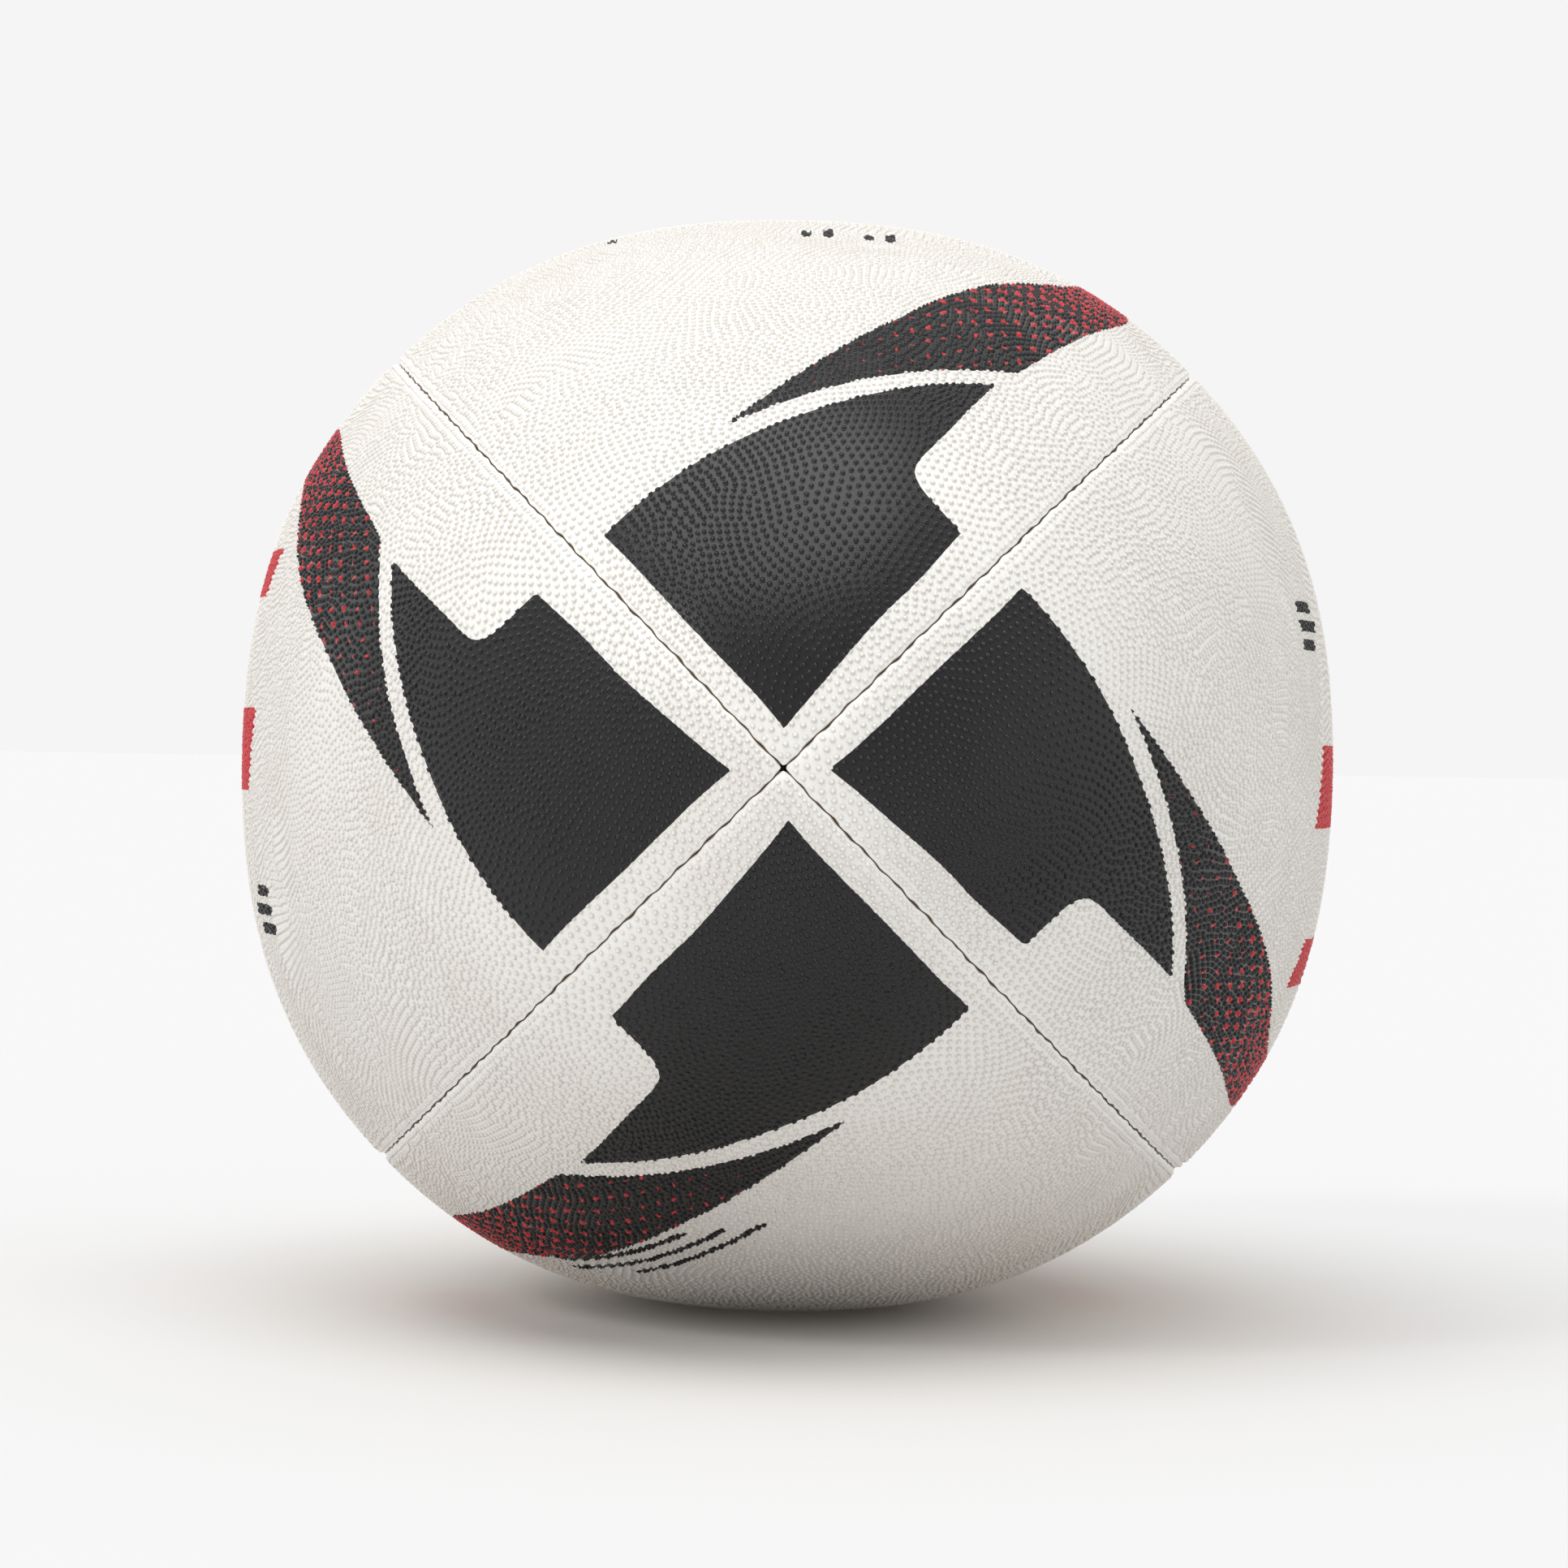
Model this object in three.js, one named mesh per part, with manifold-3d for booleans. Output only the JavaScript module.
// Rugby ball, size 5: four stitched panels over a bladder with a moulded valve.
// Millimetres. The ball's long axis is Y, +Z is up, and the origin is the ball's centre.
import * as THREE from "three";
import { mergeVertices } from "three/addons/utils/BufferGeometryUtils.js";
import Module from "manifold-3d";

// ---- outer form
const GIRTH_RADIUS = 94.7;      // mean radius at mid-length, for a girth of about 596 mm
const HALF_LENGTH = 145;        // centre to tip, for a length of 290 mm
const POINTING = 0.05;          // how much slimmer the ends are than a plain ellipsoid
const CORNERING = 0.0155;       // four panels make the girth slightly square, seams at the corners
const CORNER_FLATS = 0.003;     // flattens the middle of each panel

// ---- layers, measured inward from the outer surface
const SKIN = { top: 0, bottom: 1.1 };
const PLY = { top: 1.45, bottom: 2.35 };
const LINING = { top: 2.7, bottom: 3.3 };
const BLADDER = { top: 3.65, bottom: 4.55 };
const SKIN_SEAM_HALF_GAP = 0.25;
const INNER_SEAM_HALF_GAP = 0.75;
const SKIN_EDGE_ROLL = 1.6;     // width of the rolled edge beside each seam
const SKIN_EDGE_DROP = 0.75;    // how far the rolled edge turns in
const SKIN_TIP_HOLE = 0.9;      // radius left open where the four skins meet
const INNER_TIP_HOLE = 2.6;     // the same for the ply and the lining

// ---- facets: the middle facet of each panel is a true flat
const ROWS = 23;
const COLUMNS = 7;

// ---- seam thread
const THREAD_RADIUS = 0.4;
const THREAD_DEPTH = 1.9;
const THREAD_SIDES = 6;
const THREAD_TIP_CLEARANCE = 4.5;

// ---- valve, at mid-length on the top panel beside its right-hand seam
const VALVE_ANGLE = Math.PI * 54 / 180;
const HOUSING_RADIUS = 3.7;
const HOUSING_LENGTH = 15;
const HOUSING_BORE_RADIUS = 1.9;
const HOUSING_RECESS = 0.5;
const CORE_RADIUS = 1.55;
const CORE_LENGTH = 11;
const CORE_RECESS = 1.1;
const CORE_DIMPLE_RADIUS = 0.8;
const CORE_DIMPLE_DEPTH = 1.2;
const HOLE_CLEARANCE = 0.35;
const FLANGE_RADIUS = 10;
const PATCH_RADIUS = 13;
const BALANCE_PATCH_RADIUS = 13;
const ROUND_SIDES = 28;

const RUBBER_WHITE = { color: 0xece8df, roughness: 0.55, metalness: 0 };
const PLY_CLOTH = { color: 0xcfc6b0, roughness: 0.9, metalness: 0 };
const LINING_CLOTH = { color: 0xb9a98c, roughness: 0.95, metalness: 0 };
const BLADDER_RUBBER = { color: 0x2a2a2c, roughness: 0.6, metalness: 0 };
const THREAD_BROWN = { color: 0x6a5a42, roughness: 0.85, metalness: 0 };
const VALVE_RUBBER = { color: 0x222326, roughness: 0.5, metalness: 0 };
const PATCH_RUBBER = { color: 0x7a3b34, roughness: 0.8, metalness: 0 };

const wasm = await Module();
wasm.setup();

const group = new THREE.Group();
group.name = "rugby_ball";

// ---- the ball's surface: u runs from tip to tip (-90 to 90 degrees), angle runs round the Y axis
function cornerFactor(angle) {
  const fromSeam = 4 * (angle - Math.PI / 4);
  return 1 + CORNERING * Math.cos(fromSeam) - CORNER_FLATS * Math.cos(2 * fromSeam);
}

function radiusAt(u, inset) {
  return (GIRTH_RADIUS - inset) * Math.cos(u) * (1 - POINTING * Math.sin(u) ** 2);
}

function surfacePoint(u, angle, inset) {
  const r = radiusAt(u, inset) * cornerFactor(angle);
  return [r * Math.cos(angle), (HALF_LENGTH - inset) * Math.sin(u), r * Math.sin(angle)];
}

function uForRadius(radius, inset) {
  let low = 0;
  let high = Math.PI / 2;
  for (let i = 0; i < 60; i += 1) {
    const mid = (low + high) / 2;
    if (radiusAt(mid, inset) > radius) low = mid;
    else high = mid;
  }
  return low;
}

function rowAngles(endU) {
  const rows = [-endU];
  for (let k = 1; k < ROWS; k += 1) {
    rows.push(-Math.PI / 2 + (Math.PI * k) / ROWS);
  }
  rows.push(endU);
  return rows;
}

// ---- meshes
function geometryFrom(points, triangles) {
  const geometry = new THREE.BufferGeometry();
  geometry.setAttribute("position", new THREE.Float32BufferAttribute(points.flat(), 3));
  geometry.setIndex(triangles.flat());
  return geometry;
}

function addQuad(triangles, a, b, c, d) {
  triangles.push([a, b, c], [a, c, d]);
}

// A closed shell between two grids of points that have the same number of rows.
// The grids may have different numbers of columns: the four walls join their outlines.
function shellBetween(outer, inner) {
  const points = [];
  const triangles = [];
  const index = (grid) => grid.map((row) => row.map((p) => points.push(p) - 1));
  const top = index(outer);
  const bottom = index(inner);
  const last = top.length - 1;
  for (let i = 0; i < last; i += 1) {
    for (let j = 0; j < top[0].length - 1; j += 1) {
      addQuad(triangles, top[i][j], top[i + 1][j], top[i + 1][j + 1], top[i][j + 1]);
    }
    for (let j = 0; j < bottom[0].length - 1; j += 1) {
      addQuad(triangles, bottom[i][j], bottom[i][j + 1], bottom[i + 1][j + 1], bottom[i + 1][j]);
    }
    const topEnd = top[0].length - 1;
    const bottomEnd = bottom[0].length - 1;
    addQuad(triangles, top[i][0], bottom[i][0], bottom[i + 1][0], top[i + 1][0]);
    addQuad(triangles, top[i + 1][topEnd], bottom[i + 1][bottomEnd], bottom[i][bottomEnd], top[i][topEnd]);
  }
  for (const [row, flip] of [[0, false], [last, true]]) {
    endWall(triangles, top[row], bottom[row], flip);
  }
  return geometryFrom(points, triangles);
}

// The wall between two lines of points, stepping along whichever line is behind.
function endWall(triangles, topLine, bottomLine, flip) {
  let i = 0;
  let j = 0;
  while (i < topLine.length - 1 || j < bottomLine.length - 1) {
    const topShare = (i + 1) / (topLine.length - 1);
    const bottomShare = (j + 1) / (bottomLine.length - 1);
    const stepTop = j === bottomLine.length - 1 || (i < topLine.length - 1 && topShare <= bottomShare);
    const next = stepTop ? topLine[i + 1] : bottomLine[j + 1];
    const face = [topLine[i], next, bottomLine[j]];
    triangles.push(flip ? face.reverse() : face);
    if (stepTop) i += 1;
    else j += 1;
  }
}

function panelGrid(middle, inset, halfGap, endU, stops) {
  return rowAngles(endU).map((u) => {
    const radius = radiusAt(u, inset);
    const halfSpan = Math.PI / 4 - Math.asin(Math.min(0.7, halfGap / radius));
    return stops(halfSpan, radius).map(([angle, drop]) => surfacePoint(u, middle + angle, inset + drop));
  });
}

function evenStops(halfSpan) {
  const list = [];
  for (let k = 0; k <= COLUMNS; k += 1) {
    list.push([halfSpan * (-1 + (2 * k) / COLUMNS), 0]);
  }
  return list;
}

// The skin has a narrow strip at each edge where the panel rolls in towards the stitching.
function rolledStops(halfSpan, radius) {
  const roll = Math.min(SKIN_EDGE_ROLL / radius, halfSpan / COLUMNS);
  const inside = halfSpan - roll;
  const list = [[-halfSpan, SKIN_EDGE_DROP], [-inside, 0]];
  for (let k = 1; k < COLUMNS; k += 1) {
    list.push([halfSpan * (-1 + (2 * k) / COLUMNS), 0]);
  }
  list.push([inside, 0], [halfSpan, SKIN_EDGE_DROP]);
  return list;
}

function panelLayer(middle, layer, halfGap, tipHole, topStops) {
  const topEnd = uForRadius(tipHole, layer.top);
  const bottomEnd = uForRadius(tipHole, layer.bottom);
  return shellBetween(
    panelGrid(middle, layer.top, halfGap, topEnd, topStops),
    panelGrid(middle, layer.bottom, halfGap, bottomEnd, evenStops),
  );
}

// ---- solids for joining and cutting
function toSolid(geometry) {
  const plain = geometry.clone();
  plain.deleteAttribute("normal");
  plain.deleteAttribute("uv");
  const merged = mergeVertices(plain, 1e-4);
  return new wasm.Manifold(new wasm.Mesh({
    numProp: 3,
    vertProperties: new Float32Array(merged.attributes.position.array),
    triVerts: new Uint32Array(merged.index.array),
  }));
}

function fromSolid(solid) {
  const mesh = solid.getMesh();
  const geometry = new THREE.BufferGeometry();
  geometry.setAttribute("position", new THREE.BufferAttribute(new Float32Array(mesh.vertProperties), 3));
  geometry.setIndex(new THREE.BufferAttribute(new Uint32Array(mesh.triVerts), 1));
  return geometry;
}

function addNode(name, shape, look) {
  const geometry = shape instanceof THREE.BufferGeometry ? shape : fromSolid(shape);
  const material = new THREE.MeshStandardMaterial(look);
  const mesh = new THREE.Mesh(geometry, material);
  mesh.name = name;
  group.add(mesh);
}

// ---- the valve's own frame: its axis is the surface normal at mid-length
const valveTop = new THREE.Vector3(...surfacePoint(0, VALVE_ANGLE, 0));
const step = 1e-4;
const before = new THREE.Vector3(...surfacePoint(0, VALVE_ANGLE - step, 0));
const after = new THREE.Vector3(...surfacePoint(0, VALVE_ANGLE + step, 0));
const round = after.sub(before).normalize();
const valveAxis = new THREE.Vector3().crossVectors(new THREE.Vector3(0, 1, 0), round).normalize();
if (valveAxis.dot(valveTop) < 0) valveAxis.negate();

// A cylinder along the valve's axis, from one depth below the surface to another.
function plug(radius, fromDepth, toDepth, mirrored) {
  const solid = wasm.Manifold.cylinder(toDepth - fromDepth, radius, radius, ROUND_SIDES);
  const sign = mirrored ? -1 : 1;
  const axis = valveAxis.clone().multiplyScalar(sign);
  const base = valveTop.clone().multiplyScalar(sign).addScaledVector(axis, -toDepth);
  const turn = new THREE.Quaternion().setFromUnitVectors(new THREE.Vector3(0, 0, 1), axis);
  const matrix = new THREE.Matrix4().compose(base, turn, new THREE.Vector3(1, 1, 1));
  return solid.transform(matrix.toArray());
}

function opening(radius, mirrored) {
  return plug(radius, -5, 25, mirrored);
}

// ---- panels: skin, ply and lining
const PANELS = [
  { name: "top", middle: Math.PI / 2 },
  { name: "left", middle: Math.PI },
  { name: "bottom", middle: -Math.PI / 2 },
  { name: "right", middle: 0 },
];
const housingHole = HOUSING_RADIUS + HOLE_CLEARANCE;
let valvePatch = null;
let balancePatch = null;

for (const panel of PANELS) {
  let skin = panelLayer(panel.middle, SKIN, SKIN_SEAM_HALF_GAP, SKIN_TIP_HOLE, rolledStops);
  let ply = panelLayer(panel.middle, PLY, INNER_SEAM_HALF_GAP, INNER_TIP_HOLE, evenStops);
  let lining = panelLayer(panel.middle, LINING, INNER_SEAM_HALF_GAP, INNER_TIP_HOLE, evenStops);
  if (panel.name === "top") {
    skin = toSolid(skin).subtract(opening(housingHole));
    ply = toSolid(ply).subtract(opening(housingHole));
    const whole = toSolid(lining);
    lining = whole.subtract(opening(PATCH_RADIUS + HOLE_CLEARANCE));
    valvePatch = whole.intersect(opening(PATCH_RADIUS)).subtract(opening(housingHole));
  }
  if (panel.name === "bottom") {
    const whole = toSolid(lining);
    lining = whole.subtract(opening(BALANCE_PATCH_RADIUS + HOLE_CLEARANCE, true));
    balancePatch = whole.intersect(opening(BALANCE_PATCH_RADIUS, true));
  }
  addNode(`skin_${panel.name}`, skin, RUBBER_WHITE);
  addNode(`ply_${panel.name}`, ply, PLY_CLOTH);
  addNode(`lining_${panel.name}`, lining, LINING_CLOTH);
}
addNode("valve_patch", valvePatch, PATCH_RUBBER);
addNode("balance_patch", balancePatch, PATCH_RUBBER);

// ---- one thread along each seam, lying between the edges of the ply
const SEAMS = [
  { name: "top_right", angle: Math.PI / 4 },
  { name: "top_left", angle: (3 * Math.PI) / 4 },
  { name: "bottom_left", angle: (-3 * Math.PI) / 4 },
  { name: "bottom_right", angle: -Math.PI / 4 },
];

function threadGeometry(angle) {
  const endU = uForRadius(THREAD_TIP_CLEARANCE, THREAD_DEPTH);
  const side = new THREE.Vector3(-Math.sin(angle), 0, Math.cos(angle));
  const points = [];
  const triangles = [];
  const rings = rowAngles(endU).map((u) => {
    const centre = new THREE.Vector3(...surfacePoint(u, angle, THREAD_DEPTH));
    const ahead = new THREE.Vector3(...surfacePoint(u + 1e-4, angle, THREAD_DEPTH));
    const along = ahead.sub(centre).normalize();
    const out = new THREE.Vector3().crossVectors(side, along).normalize();
    const ring = [];
    for (let k = 0; k < THREAD_SIDES; k += 1) {
      const turn = (2 * Math.PI * k) / THREAD_SIDES;
      const p = centre.clone()
        .addScaledVector(side, THREAD_RADIUS * Math.cos(turn))
        .addScaledVector(out, THREAD_RADIUS * Math.sin(turn));
      ring.push(points.push(p.toArray()) - 1);
    }
    return ring;
  });
  for (let i = 0; i < rings.length - 1; i += 1) {
    for (let k = 0; k < THREAD_SIDES; k += 1) {
      const next = (k + 1) % THREAD_SIDES;
      addQuad(triangles, rings[i][k], rings[i + 1][k], rings[i + 1][next], rings[i][next]);
    }
  }
  const first = rings[0];
  const end = rings[rings.length - 1];
  for (let k = 1; k < THREAD_SIDES - 1; k += 1) {
    triangles.push([first[0], first[k], first[k + 1]]);
    triangles.push([end[0], end[k + 1], end[k]]);
  }
  return geometryFrom(points, triangles);
}

for (const seam of SEAMS) {
  addNode(`thread_${seam.name}`, threadGeometry(seam.angle), THREAD_BROWN);
}

// ---- bladder: a hollow of one wall thickness, with a round seat cut for the valve
function wholeForm(inset) {
  const points = [surfacePoint(-Math.PI / 2, 0, inset)];
  const triangles = [];
  const around = 4 * COLUMNS;
  const rows = rowAngles(0).slice(1, -1).map((u) => {
    const row = [];
    for (let k = 0; k < around; k += 1) {
      const angle = Math.PI / 4 + (2 * Math.PI * k) / around;
      row.push(points.push(surfacePoint(u, angle, inset)) - 1);
    }
    return row;
  });
  const farTip = points.push(surfacePoint(Math.PI / 2, 0, inset)) - 1;
  for (let k = 0; k < around; k += 1) {
    const next = (k + 1) % around;
    for (let i = 0; i < rows.length - 1; i += 1) {
      addQuad(triangles, rows[i][k], rows[i + 1][k], rows[i + 1][next], rows[i][next]);
    }
    triangles.push([0, rows[0][k], rows[0][next]]);
    triangles.push([farTip, rows[rows.length - 1][next], rows[rows.length - 1][k]]);
  }
  return toSolid(geometryFrom(points, triangles));
}

const bladderWall = wholeForm(BLADDER.top).subtract(wholeForm(BLADDER.bottom));
const bladder = bladderWall.subtract(opening(FLANGE_RADIUS + HOLE_CLEARANCE));
const flange = bladderWall.intersect(opening(FLANGE_RADIUS)).subtract(opening(housingHole));
addNode("bladder", bladder, BLADDER_RUBBER);
addNode("valve_flange", flange, VALVE_RUBBER);

// ---- valve housing and its self-sealing core
const housing = plug(HOUSING_RADIUS, HOUSING_RECESS, HOUSING_LENGTH)
  .subtract(opening(HOUSING_BORE_RADIUS));
addNode("valve_housing", housing, VALVE_RUBBER);
const core = plug(CORE_RADIUS, CORE_RECESS, CORE_RECESS + CORE_LENGTH)
  .subtract(plug(CORE_DIMPLE_RADIUS, -5, CORE_RECESS + CORE_DIMPLE_DEPTH));
addNode("valve_core", core, VALVE_RUBBER);

export default group;
